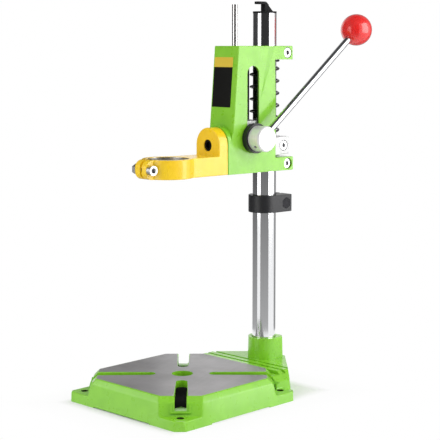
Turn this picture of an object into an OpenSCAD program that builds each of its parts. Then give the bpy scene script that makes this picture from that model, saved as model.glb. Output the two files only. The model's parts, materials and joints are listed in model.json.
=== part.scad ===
/* [Table casting] */
// Width of the square table face, edge to edge
table_side = 152; // [130:0.2:190]
// Length cut off each corner of the table, along its edge
corner_cut = 29.8; // [20:0.2:36]
// Height of the table face above the bench
table_height = 27.5; // [24:0.5:40]
// Height of the slanted strip round the table face
bevel_height = 5.5; // [3:0.5:7]
// How far the slanted strip runs out
bevel_run = 4; // [1:0.2:5]
// Height of the skirt's lower edge above the bench
skirt_gap = 1; // [0.5:0.1:2]
// Thickness of the casting's walls
cast_wall = 5; // [4:0.5:7]
// Thickness of the plate under the table face
plate_thickness = 7; // [5:0.5:9]
// Width of the four diagonal slots
slot_width = 11.6; // [8:0.2:14]
// Distance from the centre to the round end of each slot
slot_start = 27.5; // [22:0.5:36]
// Lower edge of the slot mouths in the corner faces
slot_mouth_floor = 14.7; // [12:0.1:18]
// Width of the rib round a slot mouth
mouth_rib = 4.4; // [3:0.1:5]
// How far that rib stands out from the corner face
mouth_rib_out = 1.2; // [0.6:0.1:2]
// Diameter of the hole in the middle of the table
centre_hole = 22; // [12:0.5:30]

/* [Mounting ears] */
// Half width over the four mounting ears and the casting's foot
ear_half = 84.4; // [83:0.2:105]
// Length of an ear along each side
ear_length = 43; // [34:0.5:52]
// Thickness of an ear
ear_thickness = 9.5; // [7:0.5:12]
// Length cut off an ear's outer corner, along its edge
ear_corner = 8; // [4:0.5:12]
// Distance from the centre line to a screw hole, both ways
ear_hole_half = 71.1; // [69:0.1:90]
// Diameter of the screw holes
ear_hole = 7.5; // [5:0.1:9]

/* [Apron and boss] */
// Distance from the table's centre to the column's axis
column_back = 123.2; // [118:0.5:160]
// Height of the apron between table and column
apron_height = 24.6; // [20:0.2:26]
// Half width of the apron beside the table
apron_half = 55; // [50:0.5:62]
// How far the apron's sides slant out below its top
apron_run = 11; // [6:0.5:14]
// Height of the upright part of the apron's sides
apron_ledge = 16.4; // [14:0.2:19]
// How far the apron's rear faces run out
apron_draft = 2.6; // [1:0.2:3]
// Pitch of the two grooves across the apron
groove_pitch = 9.8; // [8:0.2:12]
// Width of a groove
groove_width = 3.6; // [2:0.2:5]
// Depth of a groove
groove_depth = 3; // [1:0.2:4]
// Half width of the column boss at its foot
boss_half = 18; // [17.5:0.5:24]
// How much narrower each side of the boss is at its top
boss_draft = 1.2; // [0.4:0.2:1.4]
// How far the boss runs back from the column's axis
boss_back = 18; // [17:0.5:24]
// Bevel on the boss's rear corners
boss_bevel = 6; // [2:0.5:8]
// Height of the boss above the bench
boss_height = 47.4; // [36:0.2:60]
// Depth of metal below the column's end
socket_floor = 6; // [4:0.5:10]

/* [Column] */
// Outer diameter of the column
column_diameter = 25.4; // [24:0.1:26]
// Wall of the column tube
column_wall = 3; // [2:0.5:5]
// Height of the column's top end above the bench
column_top = 396.7; // [385:0.1:450]
// Thickness of the cap's flange
cap_flange = 2; // [1.5:0.1:4]
// Length of the cap's plug inside the tube
cap_plug = 14; // [8:1:25]
// Thickness of the hook on the cap
hook_thickness = 6.4; // [4:0.2:8]
// Height of the hook above the flange
hook_height = 10.4; // [8:0.2:16]
// How far the hook's tip reaches to the front
hook_reach = 12; // [9:0.5:16]

/* [Depth stop] */
// Half width of the stop collar
stop_half = 17; // [16.5:0.1:20]
// Height of the stop collar
stop_height = 18.6; // [12:0.5:24]
// Travel of the head down to the stop collar
feed_travel = 25.5; // [10:0.5:25.5]
// How far the collar's ears run back from the column's axis
stop_back = 25; // [24:0.5:32]

/* [Head position] */
// Turn of the head about the column, seen from above
head_turn = -4.5; // [-30:0.5:30]
// Height of the head's underside above the bench
head_floor = 229.2; // [225:0.2:235]

/* [Housing] */
// Height of the head housing
head_height = 133; // [128:0.5:138]
// Half width of the housing
head_half = 19; // [18.6:0.1:20]
// Wall at each side of the housing
head_wall = 2.8; // [2.2:0.1:2.8]
// Height of the two sleeves that slide on the column
sleeve_height = 14.4; // [12:0.2:15]
// How far the sleeves' ears run back from the column's axis
sleeve_back = 25; // [24:0.5:32]
// How far the side walls stop in front of the column's axis
wall_back = 0.8; // [0:0.2:4]
// The same for the left side wall
left_wall_back = 6.8; // [4:0.2:10]
// Distance from the column to the front face at the top
front_top = 54.1; // [53.5:0.1:58]
// Distance from the column to the front face above the arm's seat
front_mid = 61.2; // [61:0.1:64]
// Distance from the column to the arm's seat
seat_front = 68.2; // [67:0.1:72]
// Height of the seat's vertical part above the head's underside
seat_height = 22.8; // [20:0.2:26]
// Height of the flare between seat and front face
flare_height = 23; // [18:0.5:28]
// Thickness of the front wall
front_wall = 3.2; // [2.6:0.1:3.6]
// Thickness of the plate at the top
top_plate = 4; // [3:0.5:6]
// How far the rear of the side faces steps in at the top
facet_depth = 1.5; // [0.5:0.1:2]

/* [Collar arm] */
// Inner diameter of the collar that holds the drill's neck
collar_bore = 43; // [38:0.5:46]
// Wall of the collar
collar_wall = 4.5; // [3.5:0.5:7]
// Distance from the column's axis to the collar's axis
collar_reach = 133.5; // [124:0.5:150]
// Height of the arm and its collar
arm_height = 19.6; // [17:0.2:21]
// Height of the arm's underside above the head's underside
arm_lift = 0.2; // [0:0.1:1.5]
// Half width of the arm and its lug
arm_half = 18.5; // [17:0.1:19]
// Thickness of the upright lug
lug_thickness = 12; // [9:0.5:14]
// Height of the lug's bolt above the head's underside
bolt_height = 30.3; // [29.5:0.1:32]
// Half width over the collar's two clamping lobes
lobe_half = 9; // [8:0.1:12]
// How far the lobes reach in front of the collar's centre
lobe_reach = 34.3; // [32:0.1:42]
// Radius of the lobes' rounded corners
lobe_corner = 8; // [3:0.5:8.5]
// Width of the slit between the lobes
lobe_slit = 3; // [2:0.2:5]
// Radius of the fillets where the arm meets the collar
arm_fillet = 5; // [3:0.5:8]

/* [Feed mechanism] */
// Distance from the column's axis to the pinion's axis
pinion_front = 33.6; // [33:0.1:35]
// Height of the pinion's axis above the head's underside
pinion_height = 36.8; // [36:0.1:38]
// Module of the teeth
tooth_module = 1.5; // [1.4:0.1:1.5]
// Number of teeth on the pinion
pinion_teeth = 18; // [17:1:18]
// Width of the pinion and the rack
gear_width = 8; // [6:0.5:8]
// Number of teeth on the rack
rack_teeth = 17; // [13:1:17]
// Thickness of the rack behind its teeth
rack_back = 5; // [4:0.1:5.2]
// Diameter of the pinion's shaft
shaft_diameter = 10; // [8:0.5:10]
// Length that the guide slot leaves for the travel
slot_travel = 67.5; // [60:0.5:68]
// Diameter of the guide rod
guide_diameter = 6; // [5:0.5:6]
// Distance from the column's axis to the guide rod
guide_front = 42.6; // [42.5:0.1:44]
// Height of the guide rod's top above the head's top
guide_rise = 43; // [35:1:60]

/* [Head clamp] */
// Height of the clamp's underside above the head's underside
clamp_lift = 16.8; // [16:0.1:17]
// Height of the clamp round the column
clamp_height = 19; // [16:0.5:19]
// Height of the clamp's front block
block_height = 38; // [37:0.5:40]
// Half width over the clamp's ears
clamp_ear_half = 12; // [10:0.5:14]
// How far the clamp's ears run back from the column's axis
clamp_back = 24.8; // [24:0.1:30]
// How far the front block reaches in front of the column's axis
block_front = 47.6; // [47:0.1:49]

/* [Bush and hub] */
// Diameter of the black flange beside the housing
flange_diameter = 31.4; // [28:0.2:33]
// Thickness of that flange
flange_thickness = 6.1; // [4:0.1:9]
// Diameter of the bush that runs in the guide slot
bush_diameter = 15.8; // [14:0.1:16]
// Diameter of the lever's hub
hub_diameter = 26.8; // [24:0.2:30]
// Length of the hub
hub_length = 15.2; // [13:0.2:20]
// Bevel round the hub's end
hub_bevel = 1.4; // [0.5:0.1:2.5]

/* [Lever] */
// Distance from the hub's axis to the knob's centre
lever_length = 180.7; // [120:0.5:220]
// Diameter of the lever rod
lever_diameter = 7.4; // [6:0.2:10]
// Diameter of the knob
knob_diameter = 34.4; // [26:0.2:40]
// Rise of the lever above the level, to the rear, at rest
lever_angle = 39; // [20:1:60]

/* [Return spring] */
// Thickness of the spring's wire
wire_diameter = 2.2; // [1.6:0.1:2.2]
// Rise of one open turn
coil_pitch = 13.1; // [12.5:0.1:14]
// Rise of a closed turn at the spring's ends
end_pitch = 3; // [2.9:0.1:3.2]
// Turns that lie closed at each end
end_turns = 0.5; // [0.5:0.25:0.75]

/* [Fasteners] */
// Thread diameter of the clamping screws
screw_diameter = 6; // [5:0.5:6]
// Thread diameter of the arm's bolt
bolt_diameter = 8; // [6:0.5:8]

/* [Fits] */
// Radial play of a bore that slides or turns
running_play = 0.06; // [0.02:0.01:0.09]
// Radial play round a screw's shank
screw_play = 0.25; // [0.15:0.05:0.35]
// Gap between pieces that pass each other
pass_gap = 0.3; // [0.2:0.05:0.4]
// Width of the slits that let the sleeves close
slit_width = 3; // [2:0.5:4]
// Gap round a sunk screw head
head_play = 0.8; // [0.4:0.1:1]

/* [Hidden] */
$fn = 64;

// A cut runs this far past the faces it opens
over = 1;

// Table and ears
table_half = table_side / 2;
strip_half = table_half + bevel_run;
cavity_top = table_height - plate_thickness;
strip_floor = table_height - bevel_height;
foot_half = ear_half;
// Draft of the corner faces between the strip and the foot
corner_draft = atan(sqrt(2) * (foot_half - strip_half) / strip_floor);
// Distance of a corner face from the centre, where the sides are half away from it
function corner_at(half) = (2 * half - corner_cut) / sqrt(2);
ear_start = ear_half - ear_length;
ear_reach = ear_half * sqrt(2) - ear_corner / sqrt(2);

// Apron and boss
apron_end = column_back + boss_back;
// The slanted rear faces pass beside the boss's rear corners
apron_diagonal = (column_back + boss_back - boss_bevel / 2 + boss_half) / sqrt(2);
groove_start = strip_half + groove_pitch;
set_screw_level = (boss_height + apron_height) / 2;

// Column and collars
column_r = column_diameter / 2;
column_foot = socket_floor;
slide_r = column_r + running_play;
cap_plug_r = column_r - column_wall - running_play;

// The stop collar stands just clear of the lowered head
stop_play = 1.1;
stop_floor = head_floor - stop_play - feed_travel - stop_height;

// Head levels
head_top = head_floor + head_height;
sleeve_top = head_floor + sleeve_height;
bridge_floor = head_top - sleeve_height;
inner_half = head_half - head_wall;
seat_top = head_floor + seat_height;
flare_top = seat_top + flare_height;
arm_floor = head_floor + arm_lift;
arm_top = arm_floor + arm_height;
bolt_level = head_floor + bolt_height;
collar_r = collar_bore / 2 + collar_wall;

// Pinion and rack
pinion_level = head_floor + pinion_height;
pitch_r = tooth_module * pinion_teeth / 2;
tip_r = pitch_r + tooth_module;
pressure_angle = 20;
base_r = pitch_r * cos(pressure_angle);
root_depth = 1.25 * tooth_module;
// Half the play between meshing teeth
tooth_play = 0.06;
rack_pitch = PI * tooth_module;
rack_front = pinion_front + pitch_r;
rack_rear = rack_front + root_depth + rack_back;
rack_low_teeth = 2;
rack_floor = pinion_level - (rack_low_teeth + 0.5) * rack_pitch;
rack_top = rack_floor + rack_teeth * rack_pitch;
gear_start = guide_diameter / 2 + 2;
gear_end = gear_start + gear_width;
gear_middle = gear_start + gear_width / 2;
shaft_r = shaft_diameter / 2;
pocket_gap = 0.4;
pocket_r = tip_r + pocket_gap;
// Share of the pitch radius that the chamber's front opening starts ahead of the axis
chamber_share = 0.3;

// Clamp, bush and hub
clamp_floor = head_floor + clamp_lift;
clamp_top = clamp_floor + clamp_height;
block_half = inner_half - pass_gap;
bush_r = bush_diameter / 2;
guide_slot_r = bush_r + 0.4;
flange_start = head_half + pass_gap;
flange_end = flange_start + flange_thickness;
hub_start = flange_end + pass_gap;
hub_end = hub_start + hub_length;
hub_mid = hub_start + hub_length / 2;
hub_r = hub_diameter / 2;
lever_r = lever_diameter / 2;
lever_foot = shaft_r + 1.2;
knob_r = knob_diameter / 2;

// Spring between clamp and upper sleeve
spring_gap = 0.05;
coil_steps = 8;
wire_sides = 6;
// The lower end points to the open rear, clear of the housing's sides
spring_start = 90;
wire_r = wire_diameter / 2;
// Centre line radius at which the straight chords clear the column
coil_r = (column_r + 0.15 + wire_r * cos(180 / wire_sides)) / cos(180 / coil_steps);
spring_floor = clamp_top + spring_gap + wire_r;
spring_top = bridge_floor - spring_gap - wire_r;
open_turns = (spring_top - spring_floor - 2 * end_turns * end_pitch) / coil_pitch;
spring_turns = open_turns + 2 * end_turns;

// Place and slant of the facet at the rear of the housing's sides
facet_foot_share = 0.565;
facet_width_share = 0.8;
facet_lean_share = 0.22;

// Screws: socket head, shank and nut sizes that follow the thread
head_share = 10 / 6;
nut_share = 10 / 6;
screw_r = screw_diameter / 2;
head_r = screw_r * head_share;
head_long = screw_diameter;
nut_r = screw_r * nut_share / cos(30);
nut_long = screw_diameter * 0.8;
socket_r = screw_r * 0.95;
screw_back = 17.3 / 12.7 * column_r;
counterbore_depth = head_long * 0.75;

// Moves children into the head's own frame, whose z axis is the column
module in_head() {
    translate([0, column_back, 0]) rotate([0, 0, head_turn]) children();
}

// Extrudes an outline drawn in y and z, centred on x = 0
module along_x(width) {
    rotate([90, 0, 90])
        linear_extrude(height = width, center = true) children();
}

// A round rod along x
module rod_x(r, start, end) {
    translate([start, 0, 0]) rotate([0, 90, 0]) cylinder(r = r, h = end - start);
}

// A socket screw along x with its head at the +x end, head underside at x = 0
module socket_screw(r, grip, head_radius, head_height) {
    difference() {
        union() {
            rod_x(r, -grip, 0);
            rod_x(head_radius, 0, head_height);
        }
        rod_x_hex(r * 0.95, head_height * 0.45, head_height + over);
    }
}

// A hexagonal bar along x with corners at radius r
module rod_x_hex(r, start, end) {
    translate([start, 0, 0]) rotate([0, 90, 0]) cylinder(r = r, h = end - start, $fn = 6);
}

// A hexagon nut along x, from x = 0 towards -x
module hex_nut(r_corner, thickness, r_bore) {
    difference() {
        rod_x_hex(r_corner, -thickness, 0);
        rod_x(r_bore, -thickness - over, over);
    }
}

// Plan outlines
module octagon(half, cut) {
    k = half - cut;
    polygon([[half, k], [k, half], [-k, half], [-half, k], [-half, -k], [-k, -half], [k, -half], [half, -k]]);
}

// A U outline: half round in front, flat sides to the rear
module u_outline(half, back) {
    union() {
        intersection() {
            circle(r = half);
            translate([-half, -half]) square([2 * half, half]);
        }
        translate([-half, 0]) square([2 * half, back]);
    }
}

// Table and apron

// A block seen from its end: drafted walls, then the slanted strip
module skirt_block(foot, strip, top) {
    along_x(4 * foot_half) polygon([
        [-foot, 0], [foot, 0], [strip, strip_floor], [top, table_height],
        [-top, table_height], [-strip, strip_floor]
    ]);
}

// What two copies turned by 45 and -45 degrees have in common
module for_corners() {
    intersection() {
        rotate([0, 0, 45]) children();
        rotate([0, 0, -45]) children();
    }
}

module table_body() {
    intersection() {
        skirt_block(foot_half, strip_half, table_half);
        rotate([0, 0, 90]) skirt_block(foot_half, strip_half, table_half);
        for_corners() skirt_block(corner_at(foot_half), corner_at(strip_half), corner_at(table_half));
        translate([-foot_half, -foot_half, skirt_gap]) cube([2 * foot_half, 2 * foot_half, table_height]);
    }
}

// One ear: its sides follow the casting's drafted walls
module ear() {
    intersection() {
        skirt_block(foot_half, strip_half, table_half);
        rotate([0, 0, 90]) skirt_block(foot_half, strip_half, table_half);
        translate([ear_start, ear_start, 0]) cube([ear_length, ear_length, ear_thickness]);
        rotate([0, 0, 45]) translate([0, -ear_length, 0]) cube([ear_reach, 2 * ear_length, ear_thickness]);
    }
}

// A drafted block whose face, turned by angle, lies at distance at the top
module apron_block(angle, distance, run, ledge) {
    rotate([0, 0, angle + 90]) along_x(4 * apron_end) polygon([
        [-distance - run, skirt_gap], [distance + run, skirt_gap], [distance + run, ledge],
        [distance, apron_height], [-distance, apron_height], [-distance - run, ledge]
    ]);
}

module apron_body() {
    difference() {
        intersection() {
            apron_block(0, apron_half, apron_run, apron_ledge);
            apron_block(45, apron_diagonal, apron_draft, skirt_gap + over);
            apron_block(135, apron_diagonal, apron_draft, skirt_gap + over);
            apron_block(90, apron_end, apron_draft, skirt_gap + over);
            translate([-apron_end, table_half - cast_wall, 0])
                cube([2 * apron_end, 2 * apron_end, apron_height]);
        }
        for (k = [0 : 1])
            translate([-apron_end, groove_start + k * groove_pitch, apron_height - groove_depth])
                cube([2 * apron_end, groove_width, groove_depth + over]);
        // The open step between the table's strip and the apron
        translate([-apron_end, 0, apron_height - groove_depth])
            cube([2 * apron_end, strip_half + groove_width, groove_depth + over]);
    }
}

// The boss: a cone in front, drafted flat sides to the rear
module boss_body() {
    foot = boss_half;
    top = boss_half - boss_draft;
    diagonal = (boss_half + boss_back - boss_bevel) / sqrt(2);
    intersection() {
        union() {
            cylinder(r1 = foot, r2 = top, h = boss_height);
            translate([0, boss_back + over, 0]) rotate([90, 0, 0]) linear_extrude(height = boss_back + over)
                polygon([[-foot, 0], [foot, 0], [top, boss_height], [-top, boss_height]]);
        }
        along_x(4 * boss_half)
            polygon([[-2 * foot, 0], [boss_back, 0], [boss_back - boss_draft, boss_height], [-2 * foot, boss_height]]);
        for_corners() along_x(4 * boss_half) polygon([
            [-diagonal, 0], [diagonal, 0], [diagonal - boss_draft, boss_height], [boss_draft - diagonal, boss_height]
        ]);
    }
}

module base_cavity() {
    inner = strip_half - cast_wall;
    roof = apron_height - groove_depth - cast_wall;
    side = apron_half - cast_wall;
    back = column_back - boss_half - cast_wall;
    translate([0, 0, -over])
        linear_extrude(height = cavity_top + over) octagon(inner, corner_cut);
    translate([0, 0, -over]) linear_extrude(height = roof + over) polygon([
        [side, inner], [side, strip_half + groove_pitch], [boss_half, back],
        [-boss_half, back], [-side, strip_half + groove_pitch], [-side, inner]
    ]);
}

// One diagonal slot, open at the corner face
module table_slot() {
    reach = corner_at(foot_half) + over;
    translate([slot_start + slot_width / 2, 0, slot_mouth_floor]) {
        cylinder(d = slot_width, h = table_height);
        translate([0, -slot_width / 2, 0]) cube([reach - slot_start, slot_width, table_height]);
    }
}

// The rim round a slot mouth, leaning with the corner face
module mouth_frame() {
    rib_half = slot_width / 2 + mouth_rib;
    rib_floor = slot_mouth_floor - mouth_rib / 2;
    rim = mouth_rib * 0.45;
    translate([corner_at(foot_half), 0, 0]) rotate([0, -corner_draft, 0]) difference() {
        translate([-cast_wall, -rib_half, rib_floor]) cube([cast_wall + mouth_rib_out, 2 * rib_half, strip_floor - rib_floor]);
        translate([0, rim - rib_half, rib_floor + rim])
            cube([mouth_rib_out + over, 2 * (rib_half - rim), strip_floor]);
    }
}

module base_casting() color("yellowgreen") {
    difference() {
        union() {
            difference() {
                union() {
                    table_body();
                    apron_body();
                    for (turn = [0 : 90 : 270]) rotate([0, 0, turn + 45]) mouth_frame();
                }
                base_cavity();
            }
            for (turn = [0 : 90 : 270]) rotate([0, 0, turn]) ear();
            translate([0, column_back, 0]) boss_body();
        }
        for (turn = [0 : 90 : 270]) {
            rotate([0, 0, turn + 45]) table_slot();
            rotate([0, 0, turn]) translate([ear_hole_half, ear_hole_half, -over])
                cylinder(d = ear_hole, h = ear_thickness + 2 * over);
        }
        cylinder(d = centre_hole, h = table_height + over);
        translate([0, column_back, socket_floor]) cylinder(r = slide_r, h = boss_height);
        translate([0, column_back, set_screw_level]) rotate([-90, 0, 0])
            cylinder(r = screw_r + running_play, h = boss_back + over);
    }
}

module base_set_screw() color("dimgray") {
    length = boss_back - boss_draft - column_r - 2 * pass_gap;
    translate([0, column_back + column_r + pass_gap, set_screw_level]) rotate([-90, 0, 0]) difference() {
        cylinder(r = screw_r, h = length);
        translate([0, 0, length / 2]) cylinder(r = socket_r / 2, h = length, $fn = 6);
    }
}

// Column

module column_tube() color("gainsboro") {
    translate([0, column_back, column_foot]) difference() {
        cylinder(r = column_r, h = column_top - column_foot);
        translate([0, 0, -over]) cylinder(r = column_r - column_wall, h = column_top);
    }
}

module column_cap() color("#202224") {
    post = hook_thickness * 0.9;
    bar = hook_thickness * 0.45;
    in_head() translate([0, 0, column_top]) {
        cylinder(r = column_r, h = cap_flange);
        translate([0, 0, -cap_plug]) cylinder(r = cap_plug_r, h = cap_plug);
        translate([0, 0, cap_flange]) along_x(hook_thickness) difference() {
            union() {
                translate([-post / 2, 0]) square([post, hook_height - post / 2]);
                translate([-post / 2, hook_height - bar - post / 2]) circle(r = post / 2 + bar);
                translate([-hook_reach, hook_height - bar]) square([hook_reach - post / 2, bar]);
                polygon([[0, 0], [hook_reach * 0.8, 0], [post / 2, hook_height * 0.6]]);
            }
            translate([-hook_reach - post, -over]) square([hook_reach + post / 2, hook_height - bar + over]);
            translate([post / 2, hook_height * 0.6]) square([hook_reach, hook_height]);
        }
    }
}

// Depth stop

// Carries a screw's place in a collar's ears into the head's frame
module at_ears(level) {
    in_head() translate([0, screw_back, level]) children();
}

module stop_collar() color("#2b2b2e") {
    in_head() translate([0, 0, stop_floor]) difference() {
        linear_extrude(height = stop_height) u_outline(stop_half, stop_back);
        translate([0, 0, -over]) cylinder(r = slide_r, h = stop_height + 2 * over);
        translate([-slit_width / 2, 0, -over]) cube([slit_width, stop_back + over, stop_height + 2 * over]);
        translate([0, screw_back, stop_height / 2]) {
            rod_x(screw_r + screw_play, -stop_half - over, stop_half + over);
            rod_x_hex(nut_r + screw_play, stop_half - nut_long, stop_half + over);
            rod_x(head_r + head_play, -stop_half - over, -stop_half + counterbore_depth);
        }
    }
}

module stop_screw() color("silver") {
    at_ears(stop_floor + stop_height / 2) translate([-stop_half + counterbore_depth, 0, 0]) mirror([1, 0, 0])
        socket_screw(screw_r, 2 * stop_half - counterbore_depth - screw_play, head_r, head_long);
}

module stop_nut() color("silver") {
    at_ears(stop_floor + stop_height / 2) translate([stop_half - screw_play, 0, 0])
        hex_nut(nut_r, nut_long - screw_play, screw_r + running_play);
}

// Head clamp

module clamp_outline() {
    step_back = clamp_back * 0.32;
    union() {
        u_outline(block_half, step_back);
        translate([-clamp_ear_half, 0]) square([2 * clamp_ear_half, clamp_back]);
        translate([-block_half, -block_front]) square([2 * block_half, block_front]);
    }
}

module clamp_block() color("lightgray") {
    tower_back = coil_r + wire_r + pass_gap;
    in_head() difference() {
        union() {
            translate([0, 0, clamp_floor]) linear_extrude(height = clamp_height) clamp_outline();
            translate([-block_half, -block_front, clamp_floor])
                cube([2 * block_half, block_front - tower_back, block_height]);
        }
        translate([0, 0, clamp_floor - over]) cylinder(r = slide_r, h = clamp_height + 2 * over);
        translate([-slit_width / 2, 0, clamp_floor - over])
            cube([slit_width, clamp_back + over, clamp_height + 2 * over]);
        // Chamber of the pinion, open to the rack
        translate([0, -pinion_front, pinion_level]) {
            rod_x(pocket_r, gear_start - pocket_gap, gear_end + pocket_gap);
            rod_x(shaft_r + running_play, -block_half - over, gear_start);
            rod_x(bush_r, gear_end, block_half + over);
        }
        translate([gear_start - pocket_gap, -block_front - over, clamp_floor - over])
            cube([gear_width + 2 * pocket_gap, block_front + over - pinion_front - pitch_r * chamber_share,
                block_height + 2 * over]);
        translate([0, -guide_front, clamp_floor + screw_diameter])
            cylinder(r = guide_diameter / 2, h = block_height);
        translate([0, screw_back, clamp_floor + clamp_height / 2]) {
            rod_x(screw_r + screw_play, -block_half, block_half);
            rod_x(head_r + head_play, clamp_ear_half - counterbore_depth, block_half + over);
            rod_x_hex(nut_r + screw_play, -block_half - over, -clamp_ear_half + nut_long);
        }
    }
}

module clamp_screw() color("silver") {
    at_ears(clamp_floor + clamp_height / 2) translate([clamp_ear_half - counterbore_depth, 0, 0])
        socket_screw(screw_r, 2 * clamp_ear_half - counterbore_depth - screw_play,
            head_r, counterbore_depth - screw_play);
}

module clamp_nut() color("silver") {
    at_ears(clamp_floor + clamp_height / 2) translate([-clamp_ear_half + nut_long - screw_play, 0, 0])
        hex_nut(nut_r, nut_long - screw_play, screw_r + running_play);
}

module pinion_bush() color("#1c1c1e") {
    in_head() translate([0, -pinion_front, pinion_level]) difference() {
        union() {
            rod_x(bush_r - running_play / 2, gear_end + pocket_gap, flange_start + over);
            rod_x(flange_diameter / 2, flange_start, flange_end);
        }
        rod_x(shaft_r + running_play, gear_start, flange_end + over);
    }
}

module guide_rod() color("gainsboro") {
    foot = clamp_floor + screw_diameter + pass_gap;
    in_head() translate([0, -guide_front, foot])
        cylinder(r = guide_diameter / 2 - running_play / 2, h = head_top + guide_rise - foot);
}

// Return spring

// Height gained after t turns from the lower end
function coil_rise(t) =
    let(last = spring_turns - end_turns)
    end_pitch * min(t, end_turns)
    + coil_pitch * max(0, min(t, last) - end_turns)
    + end_pitch * max(0, t - last);

function coil_point(t) =
    let(turned = spring_start + 360 * t)
    [coil_r * cos(turned), coil_r * sin(turned), spring_floor + coil_rise(t)];

// Ring centres: a straight run of one wire thickness at both ends, and the turns between
ring_count = ceil(spring_turns * coil_steps);
function unit(v) = v / norm(v);
coil_centres = [for (i = [0 : ring_count]) coil_point(spring_turns * i / ring_count)];
function level_step(a, b) = unit([b[0] - a[0], b[1] - a[1], 0]) * wire_diameter;
lead_in = coil_centres[0] - level_step(coil_centres[0], coil_centres[1]);
lead_out = coil_centres[ring_count] + level_step(coil_centres[ring_count - 1], coil_centres[ring_count]);
spring_line = concat([lead_in], coil_centres, [lead_out]);

function flat_out(p) = unit([p[0], p[1], 0]);
function ring_at(i) =
    let(n = len(spring_line), p = spring_line[i])
    let(ahead = spring_line[min(i + 1, n - 1)] - spring_line[max(i - 1, 0)])
    let(along = unit(ahead), out = unit(flat_out(p) - along * (flat_out(p) * along)))
    let(up = cross(along, out))
    [for (s = [0 : wire_sides - 1])
        p + wire_r * (cos(360 * (s + 0.5) / wire_sides) * out + sin(360 * (s + 0.5) / wire_sides) * up)];

module return_spring() color("#1a1a1c") {
    n = len(spring_line);
    rings = [for (i = [0 : n - 1]) each ring_at(i)];
    sides = wire_sides;
    walls = [for (i = [0 : n - 2]) for (s = [0 : sides - 1])
        each [
            [i * sides + s, i * sides + (s + 1) % sides, (i + 1) * sides + s],
            [i * sides + (s + 1) % sides, (i + 1) * sides + (s + 1) % sides, (i + 1) * sides + s]
        ]];
    in_head() polyhedron(
        points = rings,
        faces = concat(
            walls,
            [[for (s = [sides - 1 : -1 : 0]) s]],
            [[for (s = [0 : sides - 1]) (n - 1) * sides + s]]
        )
    );
}

// Least clear gap between stretches of the wire at least half a turn apart
function spring_gap_at(i, j) = norm(spring_line[i] - spring_line[j]) - wire_diameter;
spring_gaps = [for (i = [0 : len(spring_line) - 1]) for (j = [i + coil_steps / 2 : len(spring_line) - 1])
    spring_gap_at(i, j)];
echo(least_gap_of_spring_to_itself = min(spring_gaps), spring_turns = spring_turns);

// Pinion, shaft and lever

// Involute angle in degrees at pressure angle a
function involute(a) = tan(a) * 180 / PI - a;
// Half the angle that a tooth spans at radius r
function tooth_half_angle(r) =
    let(a = acos(min(1, base_r / r)))
    90 / pinion_teeth - tooth_play / pitch_r * 180 / PI + involute(pressure_angle) - involute(a);

module pinion_outline() {
    root_r = pitch_r - root_depth;
    flank = [root_r, base_r, base_r + (tip_r - base_r) * 0.35, base_r + (tip_r - base_r) * 0.7, tip_r];
    last = len(flank) - 1;
    polygon([for (k = [0 : pinion_teeth - 1]) each concat(
        [for (i = [0 : last]) let(a = (k + 0.5) * 360 / pinion_teeth - tooth_half_angle(max(flank[i], base_r)))
            flank[i] * [cos(a), sin(a)]],
        [for (i = [last : -1 : 0]) let(a = (k + 0.5) * 360 / pinion_teeth + tooth_half_angle(max(flank[i], base_r)))
            flank[i] * [cos(a), sin(a)]]
    )]);
}

module pinion_gear() color("darkgray") {
    in_head() translate([gear_middle, -pinion_front, pinion_level]) along_x(gear_width) difference() {
        rotate(pinion_turn) pinion_outline();
        circle(r = shaft_r);
    }
}
// Turns the pinion so that a gap between teeth faces the rack
pinion_turn = pinion_teeth % 2 == 0 ? 0 : 180 / pinion_teeth;

module pinion_shaft() color("silver") {
    in_head() translate([0, -pinion_front, pinion_level])
        rod_x(shaft_r - running_play / 4, -block_half, hub_end - hub_bevel * 2);
}

// Moves children to the hub's middle, with z along the lever
module on_lever() {
    in_head() translate([hub_mid, -pinion_front, pinion_level]) rotate([lever_angle - 90, 0, 0]) children();
}

module lever_hub() color("silver") {
    difference() {
        in_head() translate([0, -pinion_front, pinion_level]) {
            rod_x(hub_r, hub_start, hub_end - hub_bevel);
            translate([hub_end - hub_bevel, 0, 0]) rotate([0, 90, 0])
                cylinder(r1 = hub_r, r2 = hub_r - hub_bevel, h = hub_bevel);
        }
        in_head() translate([0, -pinion_front, pinion_level])
            rod_x(shaft_r, hub_start - over, hub_end - hub_bevel * 2);
        on_lever() cylinder(r = lever_r, h = hub_r + over);
        on_lever() rotate([180, 0, 0]) cylinder(r = screw_r * 0.8, h = hub_r + over);
    }
}

module hub_set_screw() color("dimgray") {
    long = hub_r - shaft_r - 1.2;
    on_lever() rotate([180, 0, 0]) translate([0, 0, shaft_r + pass_gap]) difference() {
        cylinder(r = screw_r * 0.8 - running_play, h = long);
        translate([0, 0, long - screw_r * 0.7]) cylinder(r = screw_r * 0.4, h = screw_r, $fn = 6);
    }
}

module lever_rod() color("silver") {
    on_lever() translate([0, 0, lever_foot])
        cylinder(r = lever_r - running_play / 4, h = lever_length - knob_r * 0.35 - lever_foot);
}

module lever_knob() color("crimson") {
    flat_share = 0.95;
    on_lever() translate([0, 0, lever_length]) difference() {
        rotate_extrude() difference() {
            intersection() {
                circle(r = knob_r);
                translate([0, -knob_r * flat_share]) square([knob_r, 2 * knob_r]);
            }
            translate([0, -knob_r]) square([lever_r, knob_r * 0.65]);
        }
    }
}

// Housing and rack

module housing_outline() {
    polygon([
        [sleeve_back, head_top], [sleeve_back, bridge_floor], [-wall_back, bridge_floor], [-wall_back, sleeve_top],
        [sleeve_back, sleeve_top], [sleeve_back, head_floor], [-seat_front, head_floor], [-seat_front, seat_top],
        [-front_mid, flare_top], [-front_top, head_top]
    ]);
}

// Slope of the front face
front_lean = (front_mid - front_top) / (head_top - flare_top);
function front_at(level) = front_mid - front_lean * (level - flare_top);

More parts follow.
